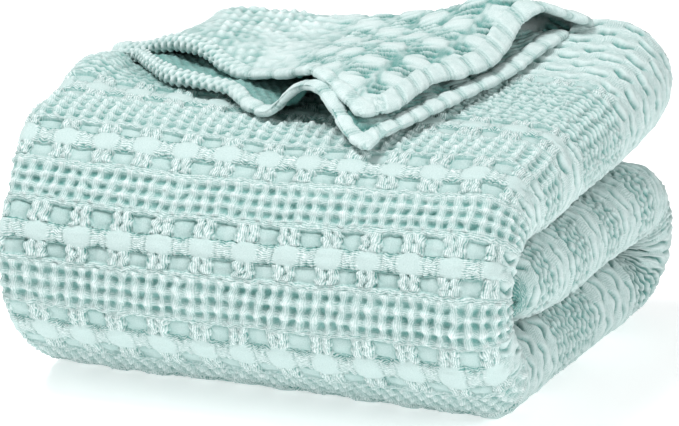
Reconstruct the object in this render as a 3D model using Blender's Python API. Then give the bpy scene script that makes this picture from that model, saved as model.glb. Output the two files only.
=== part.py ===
"""Waffle weave cotton blanket, folded into a thick pack.

The cloth is pleated back and forth into a six-layer strip.  The strip is then
wound into three passes: the top pass, the round front turn, the bottom pass,
the rear turn and the middle pass, whose front end is nested inside the front
turn.  At the rear of the top pass the two uppermost layers turn back over the
pack, and their hemmed corner lies on top as a loose double flap.

Frame: +X along the front face to the right, +Y to the rear, +Z up, with the
origin under the middle of the pack, on the surface it lies on.  The tables are
in millimetres, with Y measured from the front of the pack.  The mesh is centred
and turned into metres where it is made.
"""
import math

import bmesh
import bpy
import numpy as np

MM = 0.001

# Driving sizes
LEFT_EDGE = -194.0
RIGHT_EDGE = 186.0
CLOTH_THICKNESS = 5.2
FRONT_TURN_Y = 112.0
FRONT_TURN_Z = 98.0
REAR_TURN_Y = 306.0
REAR_TURN_Z = 62.5

# The layers of a pass are numbered from 0 at its outer face to 5 at its inner
# face.  Layers 2 and 3 end in the two hems, at the left edge.
LAST_LAYER = 5

# The rear of the top pass is skewed: its left corner is pulled forward.
TOP_END_Y = 370.0
FLAP_TURN_Y = 337.0
REAR_SKEW = 74.0
REAR_SAG = 38.0
REAR_SAG_START_Y = 160.0

# Front turn about (FRONT_TURN_Y, FRONT_TURN_Z)
# columns: angle in degrees, outer radius, inner radius, right edge
FRONT_TURN = [
    (90.0, 104.0, 33.0, 186.0),
    (120.0, 114.0, 39.0, 184.0),
    (150.0, 113.0, 43.0, 182.0),
    (180.0, 111.0, 43.0, 181.0),
    (210.0, 98.0, 37.0, 180.0),
    (240.0, 91.0, 35.0, 176.0),
    (270.0, 98.0, 38.0, 168.0),
]

# Rear turn about (REAR_TURN_Y, REAR_TURN_Z)
# columns: angle in degrees, outer radius, inner radius, right edge
REAR_TURN = [
    (-90.0, 62.5, 2.5, 170.0),
    (-45.0, 66.0, 7.0, 176.0),
    (0.0, 65.0, 11.0, 181.0),
    (45.0, 66.0, 7.0, 184.0),
    (90.0, 63.5, 2.5, 184.0),
]

# Top run, from the front turn to the rear end
# columns: distance from the front, outer height, inner height, right edge
TOP_RUN = [
    (112.0, 202.0, 131.0, 186.0),
    (200.0, 203.0, 131.0, 186.0),
    (270.0, 207.0, 131.0, 185.0),
    (337.0, 214.0, 131.0, 182.0),
    (360.0, 215.0, 131.0, 178.0),
    (370.0, 211.0, 133.0, 174.0),
]

# Bottom run, from the front turn to the rear turn, in the same columns
BOTTOM_RUN = [
    (112.0, 0.0, 60.0, 168.0),
    (175.0, 0.0, 60.0, 166.0),
    (240.0, 0.0, 60.0, 168.0),
    (306.0, 0.0, 60.0, 170.0),
]

# Middle run, from the rear turn to its end inside the front turn
MIDDLE_RUN = [
    (306.0, 126.0, 65.0, 184.0),
    (230.0, 127.0, 65.0, 182.0),
    (140.0, 127.0, 66.0, 179.0),
    (108.0, 125.0, 72.0, 176.0),
    (88.0, 120.0, 79.0, 172.0),
]

# Corner flap, lower layer: middle of the cloth along its front hem
# columns: x, y, z from the left fold to the tip
LOWER_FRONT_HEM = [
    (-185.0, 202.0, 199.5),
    (-167.0, 191.0, 204.0),
    (-147.0, 166.0, 206.5),
    (-121.0, 141.0, 206.5),
    (-92.0, 129.0, 206.5),
    (-66.0, 120.0, 206.5),
    (-44.0, 101.0, 206.0),
    (-27.0, 94.0, 205.5),
    (-9.0, 102.0, 214.0),
    (6.0, 95.0, 224.0),
    (31.0, 80.0, 213.0),
    (66.0, 52.0, 203.5),
]

# Lower layer along its right hem, from the tip to the rear turn
LOWER_RIGHT_HEM = [
    (66.0, 52.0, 203.5),
    (71.0, 74.0, 207.5),
    (76.0, 97.0, 208.0),
    (86.0, 150.0, 207.5),
    (95.0, 195.0, 207.5),
    (103.0, 235.0, 208.5),
    (108.0, 275.0, 211.5),
]

# Upper layer: front hem from the left fold to the tip
UPPER_FRONT_HEM = [
    (-183.0, 204.0, 208.5),
    (-161.0, 195.0, 212.0),
    (-146.0, 190.0, 214.0),
    (-123.0, 181.0, 217.0),
    (-107.0, 171.0, 215.5),
    (-86.0, 155.0, 214.0),
    (-63.0, 142.0, 214.0),
    (-46.0, 136.0, 218.0),
    (-25.0, 124.0, 223.0),
    (0.0, 109.0, 236.0),
    (26.0, 94.0, 229.0),
    (50.0, 80.0, 218.0),
]

# Upper layer along its right hem
UPPER_RIGHT_HEM = [
    (50.0, 80.0, 218.0),
    (65.0, 104.0, 217.0),
    (69.0, 134.0, 218.0),
    (72.0, 168.0, 218.5),
    (82.0, 194.0, 217.0),
    (92.0, 224.0, 217.0),
    (91.0, 260.0, 220.5),
    (91.0, 288.0, 228.0),
]

# Rear edge of the flap, where it comes out of its rear turn
# columns: share from the left fold to the right hem, shift to the right,
# height of the lower layer, height of the upper layer
FLAP_CREST = [
    (0.0, 14.0, 187.0, 197.0),
    (0.09, 12.0, 190.0, 201.0),
    (0.18, 9.0, 197.0, 212.0),
    (0.4, 8.0, 200.0, 209.5),
    (0.62, 2.0, 203.0, 211.5),
    (0.82, 0.0, 207.0, 217.0),
    (1.0, 0.0, 213.0, 232.0),
]

# Rise of the middle of each flap layer above the blend of its edges
LOWER_LOFT = 1.5
UPPER_LOFT = 9.0

# Mesh density
FRONT_TURN_STEPS = 10
REAR_TURN_STEPS = 8
SMALL_FOLD_STEPS = 4
ROLL_STEPS = 8
CREST_STEPS = 5
FLAP_ROWS = 8

# Columns of the two uppermost layers, which carry the flap on to their slits
FLAP_COLUMNS = [-158.0, -131.0, -104.0, -77.0, -50.0, -23.0, 2.0, 23.0, 44.0, 69.0]
LOWER_SLIT_X = 112.0
UPPER_SLIT_X = 96.0
SLIT_OPENING = 5.0

# Hems are set back from the left edge, and the small folds inside the right
# roll reach a share of its depth past the roll's centre.
HEM_INSET = 9.0
INNER_FOLD_ADVANCE = 0.09


def smooth_ramp(value):
    """Rise smoothly from 0 to 1 as value goes from 0 to 1."""
    value = min(max(value, 0.0), 1.0)
    return value * value * (3.0 - 2.0 * value)


def read_smoothly(stops, values, at, flat_ends=False):
    """Read the values at a stop, on a smooth curve through them."""
    slopes = np.gradient(values, stops, axis=0)
    if flat_ends:
        slopes[0] = 0.0
        slopes[-1] = 0.0
    at = min(max(at, stops[0]), stops[-1])
    i = min(int(np.searchsorted(stops, at, side="right")) - 1, len(stops) - 2)
    span = stops[i + 1] - stops[i]
    t = (at - stops[i]) / span
    start = (1.0 + 2.0 * t) * (1.0 - t) ** 2 * values[i]
    leave = t * (1.0 - t) ** 2 * span * slopes[i]
    end = t * t * (3.0 - 2.0 * t) * values[i + 1]
    arrive = t * t * (t - 1.0) * span * slopes[i + 1]
    return start + leave + end + arrive


def along_curve(rows, share):
    """Point at a share of the way along a smooth curve through the rows."""
    points = np.array(rows)
    steps = np.linalg.norm(np.diff(points, axis=0), axis=1)
    stops = np.concatenate([[0.0], np.cumsum(steps)]) / steps.sum()
    return read_smoothly(stops, points, share)


def turn_stations(table, centre, steps):
    """Outer and inner points of the strip round a turn."""
    rows = np.array(table)
    stations = []
    for angle in np.linspace(rows[0, 0], rows[-1, 0], steps + 1):
        outer, inner, right = read_smoothly(rows[:, 0], rows[:, 1:], angle, flat_ends=True)
        ray = np.array([math.cos(math.radians(angle)), math.sin(math.radians(angle))])
        stations.append((centre + outer * ray, centre + inner * ray, right))
    return stations


def run_stations(table):
    """Outer and inner points of the strip along a straight run."""
    return [(np.array([y, outer]), np.array([y, inner]), right) for y, outer, inner, right in table]


def strip_stations():
    """Stations from the rear end of the top pass to the end of the middle pass."""
    front = turn_stations(FRONT_TURN, np.array([FRONT_TURN_Y, FRONT_TURN_Z]), FRONT_TURN_STEPS)
    rear = turn_stations(REAR_TURN, np.array([REAR_TURN_Y, REAR_TURN_Z]), REAR_TURN_STEPS)
    top = run_stations(TOP_RUN)[::-1]
    bottom = run_stations(BOTTOM_RUN)[1:-1]
    middle = run_stations(MIDDLE_RUN)[1:]
    return top[:-1] + front + bottom + rear + middle, len(top) - 1


def small_fold(layer, base, side, radius):
    """Columns of the fold that joins a layer to the next one in."""
    columns = []
    for step in range(SMALL_FOLD_STEPS + 1):
        angle = math.pi * step / SMALL_FOLD_STEPS
        columns.append((base + side * radius * math.sin(angle), layer + 0.5 - 0.5 * math.cos(angle)))
    return columns


def cross_section(thickness, right_edge):
    """Columns across the pleated strip as x and layer, from one hem to the other."""
    depth = thickness - CLOTH_THICKNESS
    radius = 0.5 * depth / LAST_LAYER
    roll = right_edge - 0.5 * CLOTH_THICKNESS - 0.5 * depth
    inner = roll + INNER_FOLD_ADVANCE * depth
    left = LEFT_EDGE + 0.5 * CLOTH_THICKNESS + radius
    hem = LEFT_EDGE + HEM_INSET
    columns = [(hem, 2.0), (0.0, 2.0)]
    columns += small_fold(1.0, inner, 1.0, radius)[::-1]
    first = len(columns)
    columns += [(UPPER_SLIT_X, 1.0)]
    columns += [(x, 1.0) for x in FLAP_COLUMNS[::-1]]
    fold = len(columns)
    columns += small_fold(0.0, left, -1.0, radius)[::-1]
    columns += [(x, 0.0) for x in FLAP_COLUMNS]
    last = len(columns)
    columns += [(LOWER_SLIT_X, 0.0)]
    for step in range(ROLL_STEPS + 1):
        angle = math.pi * step / ROLL_STEPS
        layer = LAST_LAYER * (0.5 - 0.5 * math.cos(angle))
        columns.append((roll + 0.5 * depth * math.sin(angle), layer))
    columns += [(0.0, 5.0)]
    columns += small_fold(4.0, left, -1.0, radius)[::-1]
    columns += [(0.0, 4.0)]
    columns += small_fold(3.0, inner, 1.0, radius)[::-1]
    columns += [(0.0, 3.0), (hem, 3.0)]
    return columns, first, fold, last


def ramp_to_end(y, start):
    """Share of the way from a start to the rear end of the top pass, eased."""
    return smooth_ramp((y - start) / (TOP_END_Y - start))


def place_on_strip(x, layer, outer, inner, on_top):
    """Point of a layer between the outer and inner faces of the strip."""
    outer = outer.copy()
    inner = inner.copy()
    if on_top:
        left_share = (RIGHT_EDGE - x) / (RIGHT_EDGE - LEFT_EDGE)
        outer[1] -= REAR_SAG * left_share * ramp_to_end(outer[0], REAR_SAG_START_Y)
        outer[0] -= REAR_SKEW * left_share * ramp_to_end(outer[0], FRONT_TURN_Y)
        inner[0] -= REAR_SKEW * left_share * ramp_to_end(inner[0], FRONT_TURN_Y)
    thickness = np.linalg.norm(inner - outer)
    spacing = (thickness - CLOTH_THICKNESS) / LAST_LAYER
    depth = 0.5 * CLOTH_THICKNESS + layer * spacing
    y, z = outer + (inner - outer) * depth / thickness
    return np.array([x, y, z])


def crest_point(share, start, end, column):
    """Point on the rear edge of a flap layer, above the strip's own rear turn row."""
    rows = np.array(FLAP_CREST)
    crest = read_smoothly(rows[:, 0], rows[:, 1:], share)
    x = start[0] + (end[0] - start[0]) * share + crest[0]
    y = start[1] + (end[1] - start[1]) * share
    return np.array([x, y, crest[column]])


def flap_point(along, back, front_hem, right_hem, rear, loft):
    """Point of a flap layer, blended between its two hems and its rear turn."""
    start, end, column = rear
    rear_start = crest_point(0.0, start, end, column)
    rear_end = crest_point(1.0, start, end, column)
    front_start = np.array(front_hem[0])
    tip = np.array(front_hem[-1])
    front = along_curve(front_hem, along)
    back_edge = crest_point(along, start, end, column)
    left = front_start + (rear_start - front_start) * back
    right = along_curve(list(right_hem) + [tuple(rear_end)], back)
    edges = (1.0 - back) * front + back * back_edge + (1.0 - along) * left + along * right
    front_corners = (1.0 - back) * ((1.0 - along) * front_start + along * tip)
    rear_corners = back * ((1.0 - along) * rear_start + along * rear_end)
    rise = loft * math.sin(math.pi * along) * math.sin(math.pi * back)
    return edges - front_corners - rear_corners + np.array([0.0, 0.0, rise])


def flap_column(index, columns, fold, section, back):
    """Point of one of the flap's columns, a share of the way back from its front hem."""
    lower_start = section[fold + SMALL_FOLD_STEPS]
    upper_start = section[fold]
    lower = (lower_start, section[columns[-1]], 1)
    upper = (upper_start, section[columns[0]], 2)
    if index < fold:
        along = (section[index][0] - upper[0][0]) / (upper[1][0] - upper[0][0])
        return flap_point(along, back, UPPER_FRONT_HEM, UPPER_RIGHT_HEM, upper, UPPER_LOFT)
    if index > fold + SMALL_FOLD_STEPS:
        along = (section[index][0] - lower[0][0]) / (lower[1][0] - lower[0][0])
        return flap_point(along, back, LOWER_FRONT_HEM, LOWER_RIGHT_HEM, lower, LOWER_LOFT)
    angle = math.pi * (index - fold) / SMALL_FOLD_STEPS
    top = flap_point(0.0, back, UPPER_FRONT_HEM, UPPER_RIGHT_HEM, upper, UPPER_LOFT)
    low = flap_point(0.0, back, LOWER_FRONT_HEM, LOWER_RIGHT_HEM, lower, LOWER_LOFT)
    half = 0.5 * (top - low)
    bulge = np.array([-np.linalg.norm(half) * math.sin(angle), 0.0, 0.0])
    return 0.5 * (top + low) + half * math.cos(angle) + bulge


def crest_turn(start, end, share, side_shift):
    """Point on the turn that carries a column from the strip up to the flap."""
    angle = math.pi * share
    half = 0.5 * (start - end)
    bulge = np.array([0.0, abs(half[2]) * math.sin(angle), 0.0])
    shift = np.array([side_shift * min(1.0, 2.0 * share), 0.0, 0.0])
    return 0.5 * (start + end) + half * math.cos(angle) + bulge + shift


class Sheet:
    """Points and faces of the cloth's middle surface, gathered grid by grid."""

    def __init__(self):
        self.points = []
        self.faces = []

    def add_point(self, point):
        self.points.append(point)
        return len(self.points) - 1

    def add_faces(self, grid, rows, columns, flip=False):
        for ring in grid_faces(grid, rows, columns):
            self.faces.append(ring[::-1] if flip else ring)


def add_strip(sheet, turn_row):
    """Wind the strip: its grid, its row at the flap's turn and its column marks."""
    stations, top_rows = strip_stations()
    grid = {}
    turn = None
    for row, (outer, inner, right) in enumerate(stations):
        columns, first, fold, last = cross_section(np.linalg.norm(outer - inner), right)
        line = [place_on_strip(x, layer, outer, inner, row < top_rows) for x, layer in columns]
        if row == turn_row:
            turn = line
        for index, point in enumerate(line):
            if row >= turn_row or not first < index < last:
                grid[row, index] = sheet.add_point(point)
    sheet.add_faces(grid, len(stations), len(columns))
    return grid, turn, (first, fold, last)


def add_flap(sheet, strip_grid, turn_row, turn, marks):
    """Turn the two uppermost layers back over the pack as the corner flap."""
    first, fold, last = marks
    flap_columns = list(range(first, last + 1))
    grid = {}
    for index in flap_columns:
        grid[0, index] = strip_grid[turn_row, index]
    rows = CREST_STEPS + FLAP_ROWS
    for row in range(1, rows + 1):
        back = min(1.0, (rows - row) / FLAP_ROWS)
        for index in flap_columns:
            shift = -SLIT_OPENING if index in (first, last) else 0.0
            point = flap_column(index, flap_columns, fold, turn, back)
            if row < CREST_STEPS:
                point = crest_turn(turn[index], point, row / CREST_STEPS, shift)
            else:
                point = point + np.array([shift * back, 0.0, 0.0])
            grid[row, index] = sheet.add_point(point)
    sheet.add_faces(grid, rows + 1, last + 1, flip=True)


def blanket_sheet():
    """Middle surface of the cloth: its points, and its faces as rings of four."""
    sheet = Sheet()
    turn_row = [row[0] for row in TOP_RUN[::-1]].index(FLAP_TURN_Y)
    strip_grid, turn, marks = add_strip(sheet, turn_row)
    add_flap(sheet, strip_grid, turn_row, turn, marks)
    return np.array(sheet.points), sheet.faces


def grid_faces(grid, rows, columns):
    """Rings of four points wherever a grid has all four."""
    faces = []
    for row in range(rows - 1):
        for column in range(columns - 1):
            keys = [(row, column), (row, column + 1), (row + 1, column + 1), (row + 1, column)]
            if all(key in grid for key in keys):
                faces.append([grid[key] for key in keys])
    return faces


def point_normals(points, faces):
    """Unit normals at the points, weighted by the faces round them."""
    rings = np.array(faces)
    corners = points[rings]
    crosses = np.cross(corners[:, 2] - corners[:, 0], corners[:, 3] - corners[:, 1])
    normals = np.zeros_like(points)
    for corner in range(4):
        np.add.at(normals, rings[:, corner], crosses)
    return normals / np.linalg.norm(normals, axis=1)[:, None]


def thicken(points, faces):
    """Closed body from the sheet's middle surface: both faces and the rim."""
    normals = point_normals(points, faces)
    offset = 0.5 * CLOTH_THICKNESS * normals
    body = np.concatenate([points + offset, points - offset])
    body[:, 2] = np.maximum(body[:, 2], 0.0)
    count = len(points)
    rings = [list(ring) for ring in faces]
    rings += [[index + count for index in ring[::-1]] for ring in faces]
    edges = {}
    for ring in faces:
        for a, b in zip(ring, ring[1:] + ring[:1]):
            edges[a, b] = True
    for a, b in edges:
        if (b, a) not in edges:
            rings.append([b, a, a + count, b + count])
    return body, rings


def make_material():
    """Pale aqua brushed cotton."""
    material = bpy.data.materials.new("aqua_cotton")
    material.use_nodes = True
    shader = material.node_tree.nodes["Principled BSDF"]
    shader.inputs["Base Color"].default_value = (0.55, 0.78, 0.75, 1.0)
    shader.inputs["Roughness"].default_value = 0.9
    shader.inputs["Metallic"].default_value = 0.0
    return material


def build_blanket():
    """The whole blanket, one folded piece of cloth."""
    points, faces = blanket_sheet()
    body, rings = thicken(points, faces)
    for axis in (0, 1):
        body[:, axis] -= 0.5 * (body[:, axis].min() + body[:, axis].max())
    mesh = bpy.data.meshes.new("blanket")
    mesh.from_pydata((body * MM).tolist(), [], rings)
    mesh.validate()
    work = bmesh.new()
    work.from_mesh(mesh)
    bmesh.ops.recalc_face_normals(work, faces=work.faces[:])
    work.to_mesh(mesh)
    work.free()
    mesh.shade_smooth()
    mesh.materials.append(make_material())
    blanket = bpy.data.objects.new("blanket", mesh)
    bpy.context.scene.collection.objects.link(blanket)
    return blanket


def main():
    for old in list(bpy.data.objects):
        bpy.data.objects.remove(old, do_unlink=True)
    build_blanket()


main()
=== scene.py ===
"""Waffle weave cotton blanket, folded into a thick pack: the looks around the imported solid.

The cloth follows the folds of the solid.  It is a six-layer pleated strip, wound
into a top pass, a front turn, a bottom pass, a rear turn and a middle pass, with
a hemmed corner flap lying double on top.  The weave is real relief: bands of
small waffle cells alternate with bands of sunk windows, raised float yarns and
smooth puffs.  Tables are in millimetres, with Y measured from the front of the
pack, as in the solid's own source.
"""
import math

import bpy
import numpy as np
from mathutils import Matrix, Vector


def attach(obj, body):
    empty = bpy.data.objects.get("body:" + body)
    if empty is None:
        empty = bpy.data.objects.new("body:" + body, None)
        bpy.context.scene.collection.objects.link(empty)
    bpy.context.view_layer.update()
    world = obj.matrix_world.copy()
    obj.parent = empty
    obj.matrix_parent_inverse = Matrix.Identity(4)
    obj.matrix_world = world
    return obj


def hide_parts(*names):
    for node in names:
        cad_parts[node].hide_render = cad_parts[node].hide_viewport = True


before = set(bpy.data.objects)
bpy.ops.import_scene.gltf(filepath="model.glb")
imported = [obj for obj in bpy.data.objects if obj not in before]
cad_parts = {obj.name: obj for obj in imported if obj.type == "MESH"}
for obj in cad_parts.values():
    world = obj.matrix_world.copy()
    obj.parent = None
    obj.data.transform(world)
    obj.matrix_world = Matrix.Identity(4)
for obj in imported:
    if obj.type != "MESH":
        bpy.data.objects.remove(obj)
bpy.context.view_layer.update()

MM = 0.001
TAU = 2.0 * math.pi

# ---------------- sizes of the folds
LEFT_EDGE = -194.0
RIGHT_EDGE = 186.0
PACK_CENTRE = np.array([-4.0, 186.0, 0.0])
CLOTH = 5.2
LAST_LAYER = 5
FRONT_TURN_CENTRE = np.array([112.0, 98.0])
REAR_TURN_CENTRE = np.array([306.0, 62.5])
TOP_END_Y = 370.0
REAR_SKEW = 74.0
REAR_SAG = 38.0
REAR_SAG_START_Y = 160.0
SAG_FREE_SHARE = 0.2
FLAP_TURN_Y = 337.0

# columns: angle, outer radius, inner radius, right edge
FRONT_TURN = [
    (90, 104, 33, 186),
    (120, 114, 39, 184),
    (150, 113, 43, 182),
    (180, 111, 43, 181),
    (210, 98, 37, 180),
    (240, 91, 35, 176),
    (270, 98, 38, 168),
]
REAR_TURN = [
    (-90, 62.5, 2.5, 170),
    (-45, 66, 7, 176),
    (0, 65, 11, 181),
    (45, 66, 7, 184),
    (90, 63.5, 2.5, 184),
]

# columns: distance from the front, outer height, inner height, right edge
TOP_RUN = [
    (112, 202, 131, 186),
    (200, 203, 131, 186),
    (270, 207, 131, 185),
    (337, 216, 131, 182),
    (360, 219, 131, 178),
    (370, 215, 133, 174),
]
BOTTOM_RUN = [
    (112, 0, 60, 168),
    (175, 0, 60, 166),
    (240, 0, 60, 168),
    (306, 0, 60, 170),
]
MIDDLE_RUN = [
    (306, 126, 65, 184),
    (230, 127, 65, 182),
    (140, 127, 66, 179),
    (108, 125, 72, 176),
    (88, 120, 79, 172),
]

# Corner flap: x, y, z along each hem, from the left fold to the tip and on to the rear
LOWER_FRONT_HEM = [
    (-185, 202, 198.5), (-167, 191, 203), (-147, 166, 206),
    (-121, 141, 207), (-92, 129, 209), (-66, 120, 209.5),
    (-44, 101, 206), (-27, 94, 206), (-9, 102, 223),
    (6, 96, 228.5), (20, 87, 226), (31, 79, 216),
    (45, 66, 207.5), (66, 52, 203.5),
]
LOWER_RIGHT_HEM = [
    LOWER_FRONT_HEM[-1], (71, 74, 207.5), (76, 97, 208),
    (86, 150, 207.5), (95, 195, 207.5), (103, 235, 208.5),
    (108, 275, 211.5),
]
UPPER_FRONT_HEM = [
    (-183, 206, 202), (-163, 199, 205.5), (-146, 192, 212),
    (-123, 181, 218), (-107, 171, 218.5), (-86, 155, 215),
    (-63, 142, 215), (-46, 136, 219), (-25, 124, 226),
    (0, 109, 236), (26, 94, 229), (50, 80, 218),
]
UPPER_RIGHT_HEM = [
    UPPER_FRONT_HEM[-1], (65, 104, 217), (69, 134, 218),
    (72, 168, 218.5), (82, 194, 217), (92, 224, 217),
    (91, 260, 220.5), (90, 288, 228), (97, 307, 233),
]
# columns: share from the left fold, shift to the right, lower height, upper height
FLAP_CREST = [
    (0, 14, 187, 192),
    (0.09, 12, 189, 194.5),
    (0.125, 11, 191, 205),
    (0.16, 9.5, 196, 214),
    (0.25, 9, 198, 214.5),
    (0.33, 8, 199, 212.5),
    (0.4, 8, 200, 210.5),
    (0.6, 2, 203, 211.5),
    (0.76, 0, 207, 217),
    (0.89, 0, 212, 231),
    (1, 0, 214, 223),
]
LOWER_LOFT = 1.5
UPPER_LOFT = 9.0
LOWER_SLIT_X = 112.0
UPPER_SLIT_X = 124.0

# ---------------- weave
def in_turn(*starts):
    """Bands of windows and puffs by turns, of one row each, from their starts."""
    return [(("window", "puff")[k % 2], 1, start) for k, start in enumerate(starts)]


def bordered(cells, *starts):
    """A ridge, window, puff, window and ridge, then rows of small cells, from their starts."""
    kinds = ("ridge", "window", "puff", "window", "ridge")
    return [*((kind, 1, start) for kind, start in zip(kinds, starts)), ("waffle", cells, starts[-1])]


# Bands along the strip, from its rear end: kind, rows of cells, and where the band starts
# at the places across the strip that BAND_PLACES gives.  A single start is the same all across.
BAND_PLACES = [-150.0, -60.0, 30.0, 120.0, 180.0]
BANDS = [
    *in_turn(-14, 0, 13, 26, 39, 52, 65, 78, 91, 104, 116),
    ("waffle", 12, 128),
    *bordered(4, (226, 226, 217, 202, 203), (230, 230, 221, 206, 207),
              (243, 243, 234, 216, 217), (257, 257, 248, 230, 231),
              (268, 268, 264, 248, 246), (272, 272, 268, 253, 250)),
    *bordered(3, (310.5, 310.5, 307, 294, 283), (314.5, 314, 311, 298, 287),
              (322.5, 322, 319.5, 313, 302), (337.5, 336.5, 333, 327.5, 317),
              (347.5, 347, 343.5, 338, 329), (352, 351.5, 348, 342.5, 333.5)),
    *bordered(3, (378.5, 377.5, 373.5, 367.5, 362), (382.5, 381, 378, 372, 368),
              (395, 394, 389.5, 385.5, 381), (409.5, 408.5, 404.5, 400, 396.5),
              (421, 419, 415.5, 411.5, 411), (425.5, 423.5, 420, 416.5, 416.5)),
    *bordered(3, (458, 456, 453, 450, 451), (462, 461, 457.5, 454, 454),
              (478.5, 478, 474, 470.5, 472), (505, 503, 499.5, 498, 500),
              (523, 522, 515, 512, 511), (527, 526, 520, 517, 516)),
    ("ridge", 1, 558),
    *in_turn(562, 576, 590, 604, 618, 633),
    ("waffle", 11, 648),
    *in_turn(720, 734, 748, 762, 776),
    ("waffle", 5, 790),
    *in_turn(840, 854, 868, 882, 896),
    ("waffle", 4, 910),
    *in_turn(946, 959, 972),
    ("waffle", 4, 985),
    *in_turn(1013, 1026, 1039),
    ("waffle", 4, 1050),
    *in_turn(1074, 1085, 1095),
    ("waffle", 5, 1105),
    *in_turn(1136, 1147, 1157),
    ("waffle", 4, 1167),
    ("window", 1, 1192),
    ("ridge", 2, 1209),
    ("end", 1, 1223),
]
KINDS = {"waffle": 0, "window": 1, "puff": 2, "ridge": 3, "end": 3}

# Across the strip the weave repeats every 31 mm: a post of floats with a puff, then a window.
# Distance along the strip, then where its posts are centred there, from left to right.
REPEAT = 30.8
FIRST_POST = -5
POST_PLACES = [
    (215.0, [-164, -135, -104, -74, -44, -13, 16, 48, 77, 108, 137, 168]),
    (328.0, [-156, -127, -96, -66, -36, -5, 24, 56, 85, 116, 145, 176]),
    (401.0, [-164, -132, -100, -70, -39, -7, 23, 56, 85, 115, 147, 178]),
    (490.0, [-165, -137, -110, -77, -45, -16, 13, 47, 78, 111, 142, 173]),
]
WINDOW_HALF = 7.8
WINDOW_SIDES = [7.1, 8.3, 22.5, 23.7]
PUFF_HALF = 9.2

# Lengths of a row of small cells: above one it gets more grid rows, below one it turns to ribs
WIDE_CELL = 8.0
RIBBED_CELL = 8.4

# Limits of the outer skin, and where it is cut into pieces along the strip and across it
SKIN_LEFT = -216.0
SKIN_RIGHT = 284.0
FRONT_FROM = 343.0
BASE_FROM = 590.0
SLIT_MARGIN = 14.0
ROLL_FROM = 156.0

# How far the skin lies outside its solid, and the least height of any cloth over the floor
SKIN_LIFT = 0.3
FLOOR_GAP = 0.3

# Inner layers: kind of stretch, its first layer and its columns.  Kind 0 runs right, 1 folds
# over at the right, 2 runs left and 3 folds over at the left.
INNER_UPPER = [(0, 1.0, 40), (1, 1.0, 9), (2, 2.0, 40)]
INNER_LOWER = [(2, 5.0, 34), (3, 4.0, 13), (0, 4.0, 34), (1, 3.0, 9), (2, 3.0, 40)]
INNER_FOLD_ADVANCE = 0.09
INNER_RELIEF = 0.6
HEM_INSET = 9.0

# Where the weave tightens: plain bands into pleats, and small cells into fine ribs
PLEATS_FROM = [(0.0, 176.0), (560.0, 184.0), (640.0, 138.0)]
PLEATS_OVER = 24.0
REAR_PLEATS_TO = 128.0
RIBS_FROM = [(0.0, 192.0), (560.0, 198.0), (640.0, 150.0)]

# Where the top pass has turned into the front, and how deep the strip's end is tucked in
ROW_OF_SHOULDER = 270.0
END_TUCK = 13.0

# Shade under the corner flap, and the rise of the cloth at the left edge in front of it
FLAP_SHADE = 0.15
FLAP_SHADE_LEFT = 0.4
FLAP_SHADE_OVER = 14.0
FLAP_SHADE_REACH = 38.0
FOLD_LIFT = 8.0

# Steps of the corner flap's grid, and the sizes of its reverse weave
FLAP_COLUMNS = 230
FLAP_ROWS = 150
FOLD_COLUMNS = 12
CREST_ROWS = 40
CREST_ROW_STEP = 1.5
FLAP_LIFT = 0.8
PILLOW_WIDTH = 23.0
PILLOW_LENGTH = 40.0
PILLOWS_FROM = -42.0
FIRST_KNOT = (7.0, 188.0)
KNOT_SHIFT = 0.62
BEAD_PITCH = 7.6

# Sizes of the hems' blocks and knobs, and steps of their grids
HEM_BLOCK = 22.0
HEM_KNOB = 7.0
HEM_SIDES = 20
HEM_STEP = 1.35
SIDE_HEM_STEP = 3.0
SIDE_HEM_X = LEFT_EDGE + 4.0

# Rows and columns of the flap over which its hems find their way in and their way out
INWARD_ROWS = 8
INWARD_COLUMNS = 9
OUTWARD_STEPS = 4

# Hems: width, thickness, share of knobs at even places along each, and seed
PLAIN = [0.0, 0.0]
KNOBS = [0.0, 0.0, 0.0, 0.0, 0.1, 0.6, 1.0, 1.0, 0.9, 0.0]
FLAP_HEMS = {
    "upper_front": (13.0, 6.0, KNOBS, 41),
    "upper_right": (17.0, 5.4, PLAIN, 51),
    "lower_front": (14.0, 6.0, KNOBS[::-1], 61),
    "lower_right": (16.0, 5.4, PLAIN, 71),
}
SIDE_HEMS = {2: (12.0, 5.0, PLAIN, 81), 3: (12.0, 5.0, PLAIN, 91)}


def ramp(value):
    """Rise smoothly from 0 to 1 as value goes from 0 to 1."""
    value = np.clip(value, 0.0, 1.0)
    return value * value * (3.0 - 2.0 * value)


def wave(turns):
    """Cosine of a number of full turns."""
    return np.cos(TAU * turns)


def read_smoothly(stops, values, at, flat_ends=False):
    """Read rows of values at many stops, on smooth curves through them."""
    stops = np.asarray(stops, float)
    values = np.asarray(values, float)
    slopes = np.gradient(values, stops, axis=0)
    if flat_ends:
        slopes[0] = 0.0
        slopes[-1] = 0.0
    at = np.clip(at, stops[0], stops[-1])
    i = np.minimum(np.searchsorted(stops, at, side="right") - 1, len(stops) - 2)
    span = (stops[i + 1] - stops[i])[:, None]
    t = (at - stops[i])[:, None] / span
    start = (1.0 + 2.0 * t) * (1.0 - t) ** 2 * values[i]
    leave = t * (1.0 - t) ** 2 * span * slopes[i]
    end = t * t * (3.0 - 2.0 * t) * values[i + 1]
    arrive = t * t * (t - 1.0) * span * slopes[i + 1]
    return start + leave + end + arrive


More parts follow.
